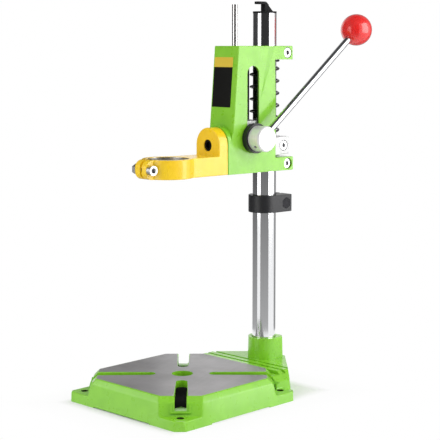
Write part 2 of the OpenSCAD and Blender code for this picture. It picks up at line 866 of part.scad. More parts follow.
// Hollow of the channel, seen from the side
module channel_outline() {
    well_back = slide_r + collar_wall;
    plate_floor = head_top - top_plate;
    polygon([
        [sleeve_back + over, bridge_floor], [-well_back, bridge_floor], [-well_back, plate_floor],
        [-front_at(plate_floor) + front_wall, plate_floor], [-front_mid + front_wall, flare_top],
        [-front_mid + front_wall, head_floor - over], [-well_back, head_floor - over],
        [-well_back, sleeve_top], [sleeve_back + over, sleeve_top]
    ]);
}

// The shallow step at the rear of the side faces, widening towards the top:
// all that lies outside both a plane leaning in to the top and a slanted facet
module side_facet() {
    facet_foot = head_floor + head_height * facet_foot_share;
    rise = head_top - facet_foot;
    facet_width = column_r * facet_width_share;
    facet_run = rise * facet_lean_share;
    lean = atan(facet_run / rise);
    reach = 2 * head_height;
    intersection() {
        translate([head_half, -reach / 2, facet_foot]) rotate([0, -atan(facet_depth / rise), 0])
            cube([head_half, reach, reach]);
        translate([head_half, -wall_back - facet_width - facet_run, facet_foot]) rotate([-lean, 0, 0])
            rotate([0, 0, atan(facet_depth / (facet_width * cos(lean)))])
                translate([0, 0, -reach / 2]) cube([head_half, reach, reach]);
    }
}

module ear_cuts(level) {
    translate([0, screw_back, level]) {
        rod_x(screw_r + screw_play, -head_half - over, head_half + over);
        rod_x(head_r + head_play, head_half - facet_depth - counterbore_depth, head_half + over);
        rod_x_hex(nut_r + screw_play, -head_half - over, -head_half + facet_depth + nut_long);
    }
}

module head_housing() color("yellowgreen") {
    ear_level = sleeve_height / 2;
    in_head() difference() {
        union() {
            difference() {
                along_x(2 * head_half) housing_outline();
                along_x(2 * inner_half) channel_outline();
                translate([-head_half - over, -left_wall_back, sleeve_top])
                    cube([head_half, left_wall_back + over, bridge_floor - sleeve_top]);
                side_facet();
                mirror([1, 0, 0]) side_facet();
            }
            // Round pad behind the arm's lug
            intersection() {
                translate([0, -front_mid + front_wall, bolt_level]) rotate([90, 0, 0])
                    cylinder(r = arm_half + 1.2, h = seat_front - front_mid + front_wall);
                translate([-head_half, -seat_front, head_floor])
                    cube([2 * head_half, seat_front, head_height]);
            }
            // Ledge that the rack is screwed to
            intersection() {
                translate([gear_start, -rack_rear - front_wall * 2, rack_floor])
                    cube([gear_width, front_wall * 2, rack_top - rack_floor]);
                along_x(2 * head_half) housing_outline();
            }
        }
        translate([0, 0, head_floor - over]) cylinder(r = slide_r, h = head_height + 2 * over);
        for (level = [head_floor, bridge_floor]) {
            translate([-slit_width / 2, 0, level - over])
                cube([slit_width, sleeve_back + over, sleeve_height + 2 * over]);
            ear_cuts(level + ear_level);
        }
        // Guide slot for the pinion's bush, in the right wall
        translate([0, -pinion_front, pinion_level - pass_gap]) {
            rod_x(guide_slot_r, 0, head_half + over);
            translate([0, 0, slot_travel]) rod_x(guide_slot_r, 0, head_half + over);
            translate([0, -guide_slot_r, 0]) cube([head_half + over, 2 * guide_slot_r, slot_travel]);
        }
        translate([0, -guide_front, head_top - top_plate - over])
            cylinder(r = guide_diameter / 2 + running_play, h = top_plate + 2 * over);
        translate([0, 0, bolt_level]) rotate([90, 0, 0])
            cylinder(r = bolt_diameter / 2, h = seat_front + over);
        // Seat of the rack where the front wall leans in
        translate([gear_start - pass_gap, -rack_rear, rack_floor])
            cube([gear_width + 2 * pass_gap, rack_back, rack_top - rack_floor + pass_gap]);
        for (level = rack_screw_levels)
            translate([gear_middle, 0, level]) rotate([90, 0, 0])
                cylinder(r = rack_screw_r + screw_play, h = seat_front);
    }
}

rack_screw_r = 2;
rack_screw_levels = [rack_floor + (rack_top - rack_floor) * 0.62, rack_floor + (rack_top - rack_floor) * 0.9];

module feed_rack() color("darkgray") {
    lean = tan(pressure_angle);
    half = rack_pitch / 4 - tooth_play;
    in_head() translate([gear_middle, 0, 0]) difference() {
        along_x(gear_width) polygon(concat(
            [[-rack_rear, rack_floor]],
            [[-rack_front - root_depth, rack_floor]],
            [for (k = [0 : rack_teeth - 1]) let(mid = rack_floor + (k + 0.5) * rack_pitch) each [
                [-rack_front - root_depth, mid - half - root_depth * lean],
                [-rack_front + tooth_module, mid - half + tooth_module * lean],
                [-rack_front + tooth_module, mid + half - tooth_module * lean],
                [-rack_front - root_depth, mid + half + root_depth * lean]
            ]],
            [[-rack_front - root_depth, rack_top]],
            [[-rack_rear, rack_top]]
        ));
        for (level = rack_screw_levels)
            translate([0, -rack_front - root_depth - rack_back / 4, level]) rotate([90, 0, 0])
                cylinder(r = rack_screw_r, h = rack_back + over);
    }
}

module rack_screws() color("silver") {
    tail = rack_front + root_depth + rack_back / 4 + pass_gap;
    in_head() for (level = rack_screw_levels)
        translate([gear_middle, -tail, level]) rotate([90, 0, 0])
            cylinder(r = rack_screw_r - running_play, h = front_at(level) - tail - 2 * pass_gap);
}

module sleeve_screws() color("silver") {
    for (level = [head_floor, bridge_floor])
        at_ears(level + sleeve_height / 2) translate([head_half - facet_depth - counterbore_depth, 0, 0])
            socket_screw(screw_r, 2 * (head_half - facet_depth) - counterbore_depth - nut_long * 0.3,
                head_r, counterbore_depth - screw_play);
}

module sleeve_nuts() color("silver") {
    for (level = [head_floor, bridge_floor])
        at_ears(level + sleeve_height / 2) translate([-head_half + facet_depth + nut_long - screw_play, 0, 0])
            hex_nut(nut_r, nut_long - 2 * screw_play, screw_r + running_play);
}

// Collar arm

bolt_bore = bolt_diameter * 1.55;
bolt_head_seat = lug_thickness * 0.45;

// Where the arm's side meets its fillet, and where the fillet meets the collar
fillet_rise = sqrt(pow(collar_r + arm_fillet, 2) - pow(arm_half + arm_fillet, 2));
fillet_share = collar_r / (collar_r + arm_fillet);
lobe_screw_front = collar_reach + lobe_reach - screw_diameter * 0.8;
arm_mid = (arm_floor + arm_top) / 2;

// Plan of the arm with the collar's axis at the origin
module arm_outline() {
    corner = arm_half + arm_fillet;
    difference() {
        union() {
            circle(r = collar_r);
            translate([-arm_half, 0]) square([2 * arm_half, collar_reach - seat_front]);
            for (side = [-1, 1]) difference() {
                polygon([[0, 0], [side * corner * fillet_share, fillet_rise * fillet_share],
                    [side * corner, fillet_rise], [0, fillet_rise]]);
                translate([side * corner, fillet_rise]) circle(r = arm_fillet);
            }
            translate([-lobe_half, -lobe_reach]) square([2 * lobe_half, lobe_reach]);
        }
        circle(d = collar_bore);
        translate([-lobe_slit / 2, -lobe_reach - over]) square([lobe_slit, lobe_reach + over]);
    }
}

// Side view that rounds the lobes' front corners
module lobe_profile() {
    front = -collar_reach - lobe_reach;
    union() {
        translate([front + lobe_corner, arm_floor]) square([collar_reach + lobe_reach - lobe_corner, arm_height]);
        translate([front, arm_floor + lobe_corner]) square([lobe_corner, arm_height - 2 * lobe_corner]);
        for (level = [arm_floor + lobe_corner, arm_top - lobe_corner])
            translate([front + lobe_corner, level]) circle(r = lobe_corner);
    }
}

module collar_arm() color("gold") {
    in_head() difference() {
        union() {
            intersection() {
                translate([0, -collar_reach, arm_floor]) linear_extrude(height = arm_height) arm_outline();
                along_x(4 * collar_r) lobe_profile();
            }
            translate([0, -seat_front, bolt_level]) rotate([90, 0, 0]) linear_extrude(height = lug_thickness) union() {
                circle(r = arm_half);
                translate([-arm_half, arm_floor - bolt_level]) square([2 * arm_half, bolt_level - arm_floor]);
            }
        }
        translate([0, 0, bolt_level]) rotate([90, 0, 0]) {
            cylinder(r = bolt_diameter / 2 + running_play, h = seat_front + lug_thickness + over);
            translate([0, 0, seat_front + bolt_head_seat]) cylinder(d = bolt_bore, h = lug_thickness);
        }
        translate([0, -lobe_screw_front, arm_mid])
            rod_x(screw_r + screw_play, -lobe_half - over, lobe_half + over);
    }
}

module arm_bolt() color("#18181a") {
    grip = bolt_head_seat + seat_front - front_mid + front_wall - pass_gap;
    in_head() translate([0, -seat_front - bolt_head_seat - running_play, bolt_level]) rotate([0, 0, -90])
        socket_screw(bolt_diameter / 2 - running_play / 4, grip, bolt_bore / 2 - pass_gap, lug_thickness - bolt_head_seat - over);
}

module collar_screw() color("silver") {
    in_head() translate([lobe_half, -lobe_screw_front, arm_mid])
        socket_screw(screw_r, 2 * lobe_half + nut_long * 1.2, head_r, head_long);
}

module collar_nut() color("silver") {
    in_head() translate([-lobe_half, -lobe_screw_front, arm_mid])
        hex_nut(nut_r, nut_long, screw_r + running_play);
}

base_casting();
base_set_screw();
column_tube();
column_cap();
stop_collar();
stop_screw();
stop_nut();
clamp_block();
clamp_screw();
clamp_nut();
pinion_bush();
guide_rod();
return_spring();
pinion_gear();
pinion_shaft();
lever_hub();
hub_set_screw();
lever_rod();
lever_knob();
head_housing();
feed_rack();
rack_screws();
sleeve_screws();
sleeve_nuts();
arm_bolt();
collar_arm();
collar_screw();
collar_nut();
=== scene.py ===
import json
import math
import bpy
import bmesh
from mathutils import Matrix, Vector


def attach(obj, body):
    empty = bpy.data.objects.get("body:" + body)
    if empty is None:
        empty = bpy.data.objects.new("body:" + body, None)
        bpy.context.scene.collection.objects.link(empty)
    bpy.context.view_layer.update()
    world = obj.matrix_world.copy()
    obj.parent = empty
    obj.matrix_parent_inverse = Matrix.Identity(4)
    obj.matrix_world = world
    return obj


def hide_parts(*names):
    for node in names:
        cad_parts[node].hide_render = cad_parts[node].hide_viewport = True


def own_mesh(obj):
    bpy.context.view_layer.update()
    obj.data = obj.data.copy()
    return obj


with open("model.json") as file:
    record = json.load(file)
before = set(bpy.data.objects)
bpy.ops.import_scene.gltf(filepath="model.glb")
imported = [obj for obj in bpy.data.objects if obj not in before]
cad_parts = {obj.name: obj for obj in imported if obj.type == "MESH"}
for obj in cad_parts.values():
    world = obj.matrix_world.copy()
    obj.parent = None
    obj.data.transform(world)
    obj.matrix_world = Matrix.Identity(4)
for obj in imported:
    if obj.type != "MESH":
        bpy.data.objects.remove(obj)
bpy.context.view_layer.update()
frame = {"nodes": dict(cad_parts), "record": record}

scene = bpy.context.scene
mm = 0.001
bodyOf = {node: body for body, nodes in frame["record"]["behaviour"]["bodies"].items() for node in nodes}

# the head's own axes: the column's axis, +z up and -y to the head's front
headPlace = {"columnBack": 123.2, "turn": -4.5}
columnSpot = (0, headPlace["columnBack"] * mm, 0)
headTurn = (0, 0, math.radians(headPlace["turn"]))
headToWorld = Matrix.Translation(columnSpot) @ Matrix.Rotation(headTurn[2], 4, "Z")
print("frame loaded,", len(frame["nodes"]), "nodes")

# camera, solved from measured points of the photograph
cameraPlace = {"azimuth": 44.468, "pitch": 5.685, "spot": (947.160, -909.782, 361.878), "focalPixels": 1304.35,
               "pictureSide": 440, "shiftY": -0.1, "sensor": 36, "near": 0.05, "far": 40}


def placeCamera():
    azimuth = math.radians(cameraPlace["azimuth"])
    pitch = math.radians(cameraPlace["pitch"])
    forward = Vector((-math.sin(azimuth) * math.cos(pitch), math.cos(azimuth) * math.cos(pitch),
                      -math.sin(pitch)))
    data = bpy.data.cameras.new("camera")
    data.sensor_width = cameraPlace["sensor"]
    data.lens = cameraPlace["focalPixels"] / cameraPlace["pictureSide"] * cameraPlace["sensor"]
    data.shift_y = cameraPlace["shiftY"]
    data.clip_start, data.clip_end = cameraPlace["near"], cameraPlace["far"]
    camera = bpy.data.objects.new("camera", data)
    scene.collection.objects.link(camera)
    camera.location = Vector(cameraPlace["spot"]) * mm
    camera.rotation_mode = "QUATERNION"
    camera.rotation_quaternion = forward.to_track_quat("-Z", "Y")
    scene.camera = camera


placeCamera()
print("camera placed")


# small helpers for node trees and meshes
def addNode(tree, kind, **settings):
    node = tree.nodes.new(kind)
    for name, value in settings.items():
        setattr(node, name, value)
    return node


def feed(tree, socket, value):
    if isinstance(value, bpy.types.NodeSocket):
        tree.links.new(value, socket)
    elif isinstance(value, tuple) and len(value) == 3 and socket.type == "RGBA":
        socket.default_value = (*value, 1)
    else:
        socket.default_value = value


def maths(tree, operation, first, second=None):
    node = addNode(tree, "ShaderNodeMath", operation=operation)
    feed(tree, node.inputs[0], first)
    if second is not None:
        feed(tree, node.inputs[1], second)
    return node.outputs[0]


def product(tree, first, *others):
    for other in others:
        first = maths(tree, "MULTIPLY", first, other)
    return first


def lengthOf(tree, first, second):
    return maths(tree, "SQRT", maths(tree, "ADD", product(tree, first, first), product(tree, second, second)))


def within(tree, value, low, high):
    return product(tree, maths(tree, "GREATER_THAN", value, low), maths(tree, "LESS_THAN", value, high))


def ramp(tree, value, low, high, toLow=0.0, toHigh=1.0):
    node = addNode(tree, "ShaderNodeMapRange")
    for socket, number in zip(node.inputs[1:5], (low, high, toLow, toHigh)):
        socket.default_value = number
    tree.links.new(value, node.inputs["Value"])
    return node.outputs["Result"]


def blendColours(tree, share, first, second):
    node = addNode(tree, "ShaderNodeMix", data_type="RGBA")
    for index, value in ((0, share), (6, first), (7, second)):
        feed(tree, node.inputs[index], value)
    return node.outputs[2]


def blendNumbers(tree, share, first, second):
    node = addNode(tree, "ShaderNodeMix", data_type="FLOAT")
    for index, value in ((0, share), (2, first), (3, second)):
        feed(tree, node.inputs[index], value)
    return node.outputs[0]


def axesOf(tree, vector):
    # the X, Y and Z sockets of a vector
    node = addNode(tree, "ShaderNodeSeparateXYZ")
    tree.links.new(vector, node.inputs[0])
    return node.outputs


def mixShaders(tree, share, first, second, outKind):
    mix = addNode(tree, "ShaderNodeMixShader")
    out = addNode(tree, outKind)
    for socket, value in zip(mix.inputs, (share, first.outputs[0], second.outputs[0])):
        tree.links.new(value, socket)
    tree.links.new(mix.outputs[0], out.inputs["Surface"])


def newPiece(name, verts, faces):
    mesh = bpy.data.meshes.new(name)
    mesh.from_pydata(verts, [], faces)
    piece = bpy.data.objects.new(name, mesh)
    scene.collection.objects.link(piece)
    return piece


def newPanel(name, left, right, front, back, level):
    return newPiece(name, [(left, front, level), (right, front, level), (right, back, level), (left, back, level)],
                    [(0, 1, 2, 3)])


# plain studio: a white floor, softboxes at the right, the front and the left, and grey flags that only
# polished metal sees; lengths in metres, from the column's axis for the softboxes and the curved flags
skyLight = {"side": 0.42, "top": 1.0}
softboxes = {
    "keySoftbox": {"polar": 23, "width": 1.08, "low": 0.02, "high": 1.35, "away": 1.2, "glow": 3.1},
    "frontReflector": {"polar": -105, "width": 0.97, "low": 0.02, "high": 1.35, "away": 1.2, "glow": 1.2},
    "fillSoftbox": {"polar": 214, "width": 0.9, "low": 0.32, "high": 0.72, "away": 1.1, "glow": 1.2}}
# the floor's colour is painted near black under the casting as painted shade, fading to pale at paleHalf
floorSize = {"half": 9.0, "pale": 0.80, "paintedShade": 0.05, "paintedShadeHalf": 0.060, "paleHalf": 0.070,
             "footMiddle": 0.02, "footHalf": 0.078, "footLength": 0.110, "near": (-0.006, 0.008, 0.0, 0.86),
             "far": (0.004, 0.050, 0.0, 0.14)}
roof = {"left": -1.25, "right": 0.50, "front": -1.0, "back": 0.9, "level": 0.85}
roofCloth = {"shades": (0.04, 0.75), "fade": (0.12, 1.25), "axis": "X"}
curvedFlag = {"reach": 0.25, "low": 0.001, "high": 0.62, "steps": 24}
curvedFlags = {
    "flagFront": {"start": -83, "end": -3, "shades": (0.44, 0.035), "fade": (0.0, 0.32)},
    "flagLeft": {"start": 165, "end": 246, "shades": (0.42, 0.05), "fade": (0.0, 0.24)},
    "flagBack": {"start": 66, "end": 122, "shades": (0.32, 0.26), "fade": (0.0, 0.34)}}


def seenStraight(tree):
    # one for rays from the camera, a polished surface or glass
    rays = addNode(tree, "ShaderNodeLightPath")
    sharp = maths(tree, "MAXIMUM", rays.outputs["Is Camera Ray"], rays.outputs["Is Glossy Ray"])
    return maths(tree, "MAXIMUM", sharp, rays.outputs["Is Transmission Ray"])


def emptyMaterial(name):
    material = bpy.data.materials.new(name)
    material.use_nodes = True
    material.node_tree.nodes.clear()
    return material, material.node_tree


def buildWorld():
    world = bpy.data.worlds.new("studio")
    scene.world = world
    world.use_nodes = True
    tree = world.node_tree
    tree.nodes.clear()
    soft, white = addNode(tree, "ShaderNodeBackground"), addNode(tree, "ShaderNodeBackground")
    for background in (soft, white):
        background.inputs["Color"].default_value = (1, 1, 1, 1)
        background.inputs["Strength"].default_value = 1.0
    direction = axesOf(tree, addNode(tree, "ShaderNodeTexCoord").outputs["Generated"])
    tree.links.new(ramp(tree, direction["Z"], 0.0, 1.0, skyLight["side"], skyLight["top"]), soft.inputs["Strength"])
    mixShaders(tree, seenStraight(tree), soft, white, "ShaderNodeOutputWorld")


def buildFloor():
    size = floorSize
    floor = newPanel("floor", -size["half"], size["half"], -size["half"], size["half"], 0)
    material, tree = emptyMaterial("paperFloor")
    matt = addNode(tree, "ShaderNodeBsdfDiffuse")
    glow = addNode(tree, "ShaderNodeEmission")
    glow.inputs["Strength"].default_value = 1.0
    spot = axesOf(tree, addNode(tree, "ShaderNodeTexCoord").outputs["Object"])
    across, depth = maths(tree, "ABSOLUTE", spot["X"]), maths(tree, "ABSOLUTE", spot["Y"])
    along = maths(tree, "ABSOLUTE", maths(tree, "SUBTRACT", spot["Y"], size["footMiddle"]))
    # painted shade: the floor's colour is near black under the casting, where the casting's shade falls
    under = ramp(tree, maths(tree, "MAXIMUM", across, depth), size["paintedShadeHalf"], size["paleHalf"])
    tree.links.new(blendColours(tree, under, (size["paintedShade"],) * 3, (size["pale"],) * 3), matt.inputs["Color"])
    # no glow under the casting, most of it round the foot, and all of it further out
    beyond = maths(tree, "MAXIMUM", maths(tree, "SUBTRACT", across, size["footHalf"]),
                   maths(tree, "SUBTRACT", along, size["footLength"]))
    share = maths(tree, "ADD", ramp(tree, beyond, *size["near"]), ramp(tree, beyond, *size["far"]))
    mixShaders(tree, product(tree, share, seenStraight(tree)), matt, glow, "ShaderNodeOutputMaterial")
    floor.data.materials.append(material)


def addSoftbox(name, polar, width, low, high, away, glow):
    outward = Vector((math.cos(math.radians(polar)), math.sin(math.radians(polar)), 0))
    data = bpy.data.lights.new(name, "AREA")
    data.shape = "RECTANGLE"
    data.size, data.size_y = width, high - low
    data.energy = glow * math.pi * data.size * data.size_y
    light = bpy.data.objects.new(name, data)
    scene.collection.objects.link(light)
    light.location = Vector((0, columnSpot[1], (high + low) / 2)) + outward * away
    light.rotation_mode = "QUATERNION"
    light.rotation_quaternion = (-outward).to_track_quat("-Z", "Y")


def hangFlag(flag, shades, fade, axis="Z"):
    # its two shades are those at the two ends of fade, in metres from the middle or the foot
    flag.visible_camera = flag.visible_diffuse = flag.visible_transmission = flag.visible_shadow = False
    material, tree = emptyMaterial(flag.name + "Cloth")
    glow = addNode(tree, "ShaderNodeEmission")
    spot = axesOf(tree, addNode(tree, "ShaderNodeTexCoord").outputs["Object"])
    tree.links.new(ramp(tree, maths(tree, "ABSOLUTE", spot[axis]), *fade, *shades), glow.inputs["Strength"])
    out = addNode(tree, "ShaderNodeOutputMaterial")
    tree.links.new(glow.outputs[0], out.inputs["Surface"])
    flag.data.materials.append(material)


def addCurvedFlag(name, start, end, shades, fade):
    # a flag round the column, between two polar angles
    reach, steps = curvedFlag["reach"], curvedFlag["steps"]
    verts = []
    for step in range(steps + 1):
        polar = math.radians(start + (end - start) * step / steps)
        spot = (reach * math.cos(polar), columnSpot[1] + reach * math.sin(polar))
        verts += [(*spot, curvedFlag["low"]), (*spot, curvedFlag["high"])]
    faces = [(2 * step, 2 * step + 2, 2 * step + 3, 2 * step + 1) for step in range(steps)]
    hangFlag(newPiece(name, verts, faces), shades, fade)


buildWorld()
buildFloor()
for name, settings in softboxes.items():
    addSoftbox(name, **settings)
hangFlag(newPanel("roofFlag", **roof), **roofCloth)
for name, settings in curvedFlags.items():
    addCurvedFlag(name, **settings)
print("studio built")


# finishes
toneBand, roughBand = (0.35, 0.65), (0.3, 0.7)


def newFinish(name, colour, metallic, roughness, coat=0.0, coatRoughness=0.05, specular=0.5):
    material = bpy.data.materials.new(name)
    material.use_nodes = True
    tree = material.node_tree
    shader = tree.nodes["Principled BSDF"]
    for label, value in (("Base Color", colour), ("Metallic", metallic), ("Roughness", roughness),
                         ("Coat Weight", coat), ("Coat Roughness", coatRoughness),
                         ("Specular IOR Level", specular)):
        feed(tree, shader.inputs[label], value)
    return material, tree, shader


def objectPoint(tree, scale=(1, 1, 1), place=(0, 0, 0), turn=(0, 0, 0)):
    # TEXTURE mapping: the pattern is centred on place, turned and stretched by scale
    coords = addNode(tree, "ShaderNodeTexCoord")
    mapping = addNode(tree, "ShaderNodeMapping", vector_type="TEXTURE")
    for label, value in (("Location", place), ("Rotation", turn), ("Scale", scale)):
        mapping.inputs[label].default_value = value
    tree.links.new(coords.outputs["Object"], mapping.inputs["Vector"])
    return mapping.outputs["Vector"]


def noise(tree, point, scale, detail=2.0, rough=0.5):
    node = addNode(tree, "ShaderNodeTexNoise")
    for label, value in (("Scale", scale), ("Detail", detail), ("Roughness", rough)):
        node.inputs[label].default_value = value
    tree.links.new(point, node.inputs["Vector"])
    return node.outputs["Fac"]


def setBump(tree, shader, layers):
    # layers of (height, strength, distance), one bump node over the other
    below = None
    for height, strength, distance in layers:
        node = addNode(tree, "ShaderNodeBump")
        feed(tree, node.inputs["Strength"], strength)
        node.inputs["Distance"].default_value = distance
        tree.links.new(height, node.inputs["Height"])
        if below is not None:
            tree.links.new(below, node.inputs["Normal"])
        below = node.outputs["Normal"]
    tree.links.new(below, shader.inputs["Normal"])


def ownNormal(tree):
    # the true surface's direction in the piece's own space, so that a pose doesn't change it
    geometry = addNode(tree, "ShaderNodeNewGeometry")
    turned = addNode(tree, "ShaderNodeVectorTransform", vector_type="NORMAL", convert_from="WORLD",
                     convert_to="OBJECT")
    tree.links.new(geometry.outputs["True Normal"], turned.inputs[0])
    return axesOf(tree, turned.outputs[0])


def upright(tree):
    return maths(tree, "LESS_THAN", maths(tree, "ABSOLUTE", ownNormal(tree)["Z"]), 0.5)


# the last two colours are painted shade: a deeper green on the head's slanted facet and near black inside its
# channel
paint = {"green": (0.225, 0.570, 0.022), "greenDeep": (0.200, 0.525, 0.017), "yellow": (0.900, 0.600, 0.010),
         "yellowDeep": (0.870, 0.555, 0.008), "facet": (0.185, 0.500, 0.012), "channelShade": (0.010, 0.016, 0.008),
         "rough": 0.30, "lessRough": 0.05, "moreRough": 0.07, "patches": 140, "coat": 0.42, "coatRough": 0.12,
         "drift": 60, "driftBand": (0.36, 0.64), "lumpStrength": 0.35, "peel": 1100, "peelStrength": 0.14,
         "peelDepth": 0.00003}


def paintedCasting(name, tint, lumpScale, lumpDepth):
    # glossy sprayed paint over a casting: faint drift of colour, orange peel and the casting's lumps
    material, tree, shader = newFinish(name, paint[tint], 0.0, paint["rough"], paint["coat"], paint["coatRough"])
    point = objectPoint(tree)
    drift = ramp(tree, noise(tree, point, paint["drift"], 3), *paint["driftBand"])
    tone = blendColours(tree, drift, paint[tint + "Deep"], paint[tint])
    rough = ramp(tree, noise(tree, point, paint["patches"], 2), *roughBand, paint["rough"] - paint["lessRough"],
                 paint["rough"] + paint["moreRough"])
    layers = [(noise(tree, point, lumpScale, 3), paint["lumpStrength"], lumpDepth),
              (noise(tree, point, paint["peel"], 1), paint["peelStrength"], paint["peelDepth"])]
    return material, tree, shader, tone, rough, layers


def coatBeside(tree, shader, bare):
    # the clear coat everywhere but where bare is one
    painted = maths(tree, "SUBTRACT", 1.0, bare)
    feed(tree, shader.inputs["Coat Weight"], product(tree, painted, paint["coat"]))
    return painted


# the table is ground bare from level to top, in metres, with cloudy grey and straight marks
ground = {"level": 0.02735, "top": 0.028, "edge": 0.00002, "facing": (0.985, 0.995), "turn": (0, 0, 0.35),
          "grey": (0.270, 0.262, 0.268), "pale": (0.400, 0.390, 0.398), "clouds": 26,
          "cloudBand": (0.35, 0.68), "cloudStretch": (1.6, 1, 1), "mark": (0.46, 0.45, 0.45),
          "markShare": 0.16, "markGrain": (0.0012, 0.05, 0.01), "markStrength": 0.25, "markDepth": 0.00004,
          "rough": 0.42, "lessRough": 0.06, "moreRough": 0.08, "metallic": 0.55}
# painted shade: the walls of the ears' bolt holes are drawn dark green
earHole = {"place": 0.0711, "radius": 0.0041, "dark": (0.030, 0.050, 0.012)}


def baseFinish():
    # painted iron, its table ground bare, and painted shade darkening the walls of its bolt holes
    material, tree, shader, tone, rough, layers = paintedCasting("paintedIron", "green", 210, 0.00010)
    spot = axesOf(tree, objectPoint(tree))
    bare = product(tree, ramp(tree, spot["Z"], ground["level"] - ground["edge"], ground["level"]),
                   maths(tree, "LESS_THAN", spot["Z"], ground["top"]),
                   ramp(tree, ownNormal(tree)["Z"], *ground["facing"]))
    cloud = noise(tree, objectPoint(tree, ground["cloudStretch"], turn=ground["turn"]), ground["clouds"], 4, 0.55)
    marks = noise(tree, objectPoint(tree, ground["markGrain"], turn=ground["turn"]), 1.0, 3)
    steel = blendColours(tree, ramp(tree, cloud, *ground["cloudBand"]), ground["grey"], ground["pale"])
    steel = blendColours(tree, ramp(tree, marks, *toneBand, 0.0, ground["markShare"]), steel, ground["mark"])
    # painted shade: dark green on the walls of the bolt holes, where their depth keeps light out
    fromHole = [maths(tree, "SUBTRACT", maths(tree, "ABSOLUTE", spot[axis]), earHole["place"]) for axis in "XY"]
    holeShade = product(tree, maths(tree, "LESS_THAN", lengthOf(tree, *fromHole), earHole["radius"]), upright(tree))
    tone = blendColours(tree, holeShade, tone, earHole["dark"])
    feed(tree, shader.inputs["Base Color"], blendColours(tree, bare, tone, steel))
    feed(tree, shader.inputs["Metallic"], product(tree, bare, ground["metallic"]))
    bareRough = ramp(tree, marks, *roughBand, ground["rough"] - ground["lessRough"],
                     ground["rough"] + ground["moreRough"])
    feed(tree, shader.inputs["Roughness"], blendNumbers(tree, bare, rough, bareRough))
    painted = coatBeside(tree, shader, bare)
    layers = [(height, product(tree, painted, strength), depth) for height, strength, depth in layers]
    layers.append((marks, product(tree, bare, ground["markStrength"]), ground["markDepth"]))
    setBump(tree, shader, layers)
    return material


# the channel inside the housing, drawn near black as painted shade, and the lean of the facet at the rear of its
# sides, drawn a deeper green as painted shade
channel = {"half": 17.2, "front": -50.0, "back": 30.0, "low": 246.0, "high": 358.0}
facet = {"leastLean": 0.10, "mostLean": 0.20}


def headFinish():
    # painted shade: the channel behind the guide slot is drawn near black without its coat, and the slanted facet a
    # deeper green
    material, tree, shader, tone, rough, layers = paintedCasting("paintedHead", "green", 260, 0.00007)
    spot = axesOf(tree, objectPoint(tree, place=columnSpot, turn=headTurn))
    # painted shade: near black on the surfaces inside the channel
    inside = product(tree, maths(tree, "LESS_THAN", maths(tree, "ABSOLUTE", spot["X"]), channel["half"] * mm),
                     within(tree, spot["Y"], channel["front"] * mm, channel["back"] * mm),
                     within(tree, spot["Z"], channel["low"] * mm, channel["high"] * mm))
    normal = ownNormal(tree)
    slant = maths(tree, "ADD", product(tree, normal["Y"], math.cos(headTurn[2])),
                  product(tree, normal["X"], -math.sin(headTurn[2])))
    # painted shade: a deeper green on the facet, chosen by the lean of its surface
    tone = blendColours(tree, within(tree, slant, facet["leastLean"], facet["mostLean"]), tone, paint["facet"])
    feed(tree, shader.inputs["Base Color"], blendColours(tree, inside, tone, paint["channelShade"]))
    feed(tree, shader.inputs["Roughness"], rough)
    coatBeside(tree, shader, inside)
    setBump(tree, shader, layers)
    return material


# the collar's bore, with the alloy's two tones and the grain of its turned rings
collar = {"reach": 133.5, "bore": 21.5, "margin": 0.12, "grey": (0.50, 0.49, 0.47), "pale": (0.66, 0.65, 0.62),
          "rings": (0.02, 0.02, 0.0004), "ringStrength": 0.3, "ringDepth": 0.00003, "rough": 0.30}


def armFinish():
    # yellow paint, the collar's bore machined bare
    material, tree, shader, tone, rough, layers = paintedCasting("paintedArm", "yellow", 260, 0.00009)
    centre = headToWorld @ Vector((0, -collar["reach"] * mm, 0))
    spot = axesOf(tree, objectPoint(tree, place=(centre.x, centre.y, 0)))
    away = lengthOf(tree, spot["X"], spot["Y"])
    bare = product(tree, maths(tree, "LESS_THAN", away, (collar["bore"] + collar["margin"]) * mm), upright(tree))
    rings = noise(tree, objectPoint(tree, collar["rings"]), 1.0, 2)
    alloy = blendColours(tree, ramp(tree, rings, *toneBand), collar["grey"], collar["pale"])
    feed(tree, shader.inputs["Base Color"], blendColours(tree, bare, tone, alloy))
    feed(tree, shader.inputs["Metallic"], bare)
    feed(tree, shader.inputs["Roughness"], blendNumbers(tree, bare, rough, collar["rough"]))
    coatBeside(tree, shader, bare)
    layers.append((rings, product(tree, bare, collar["ringStrength"]), collar["ringDepth"]))
    setBump(tree, shader, layers)
    return material


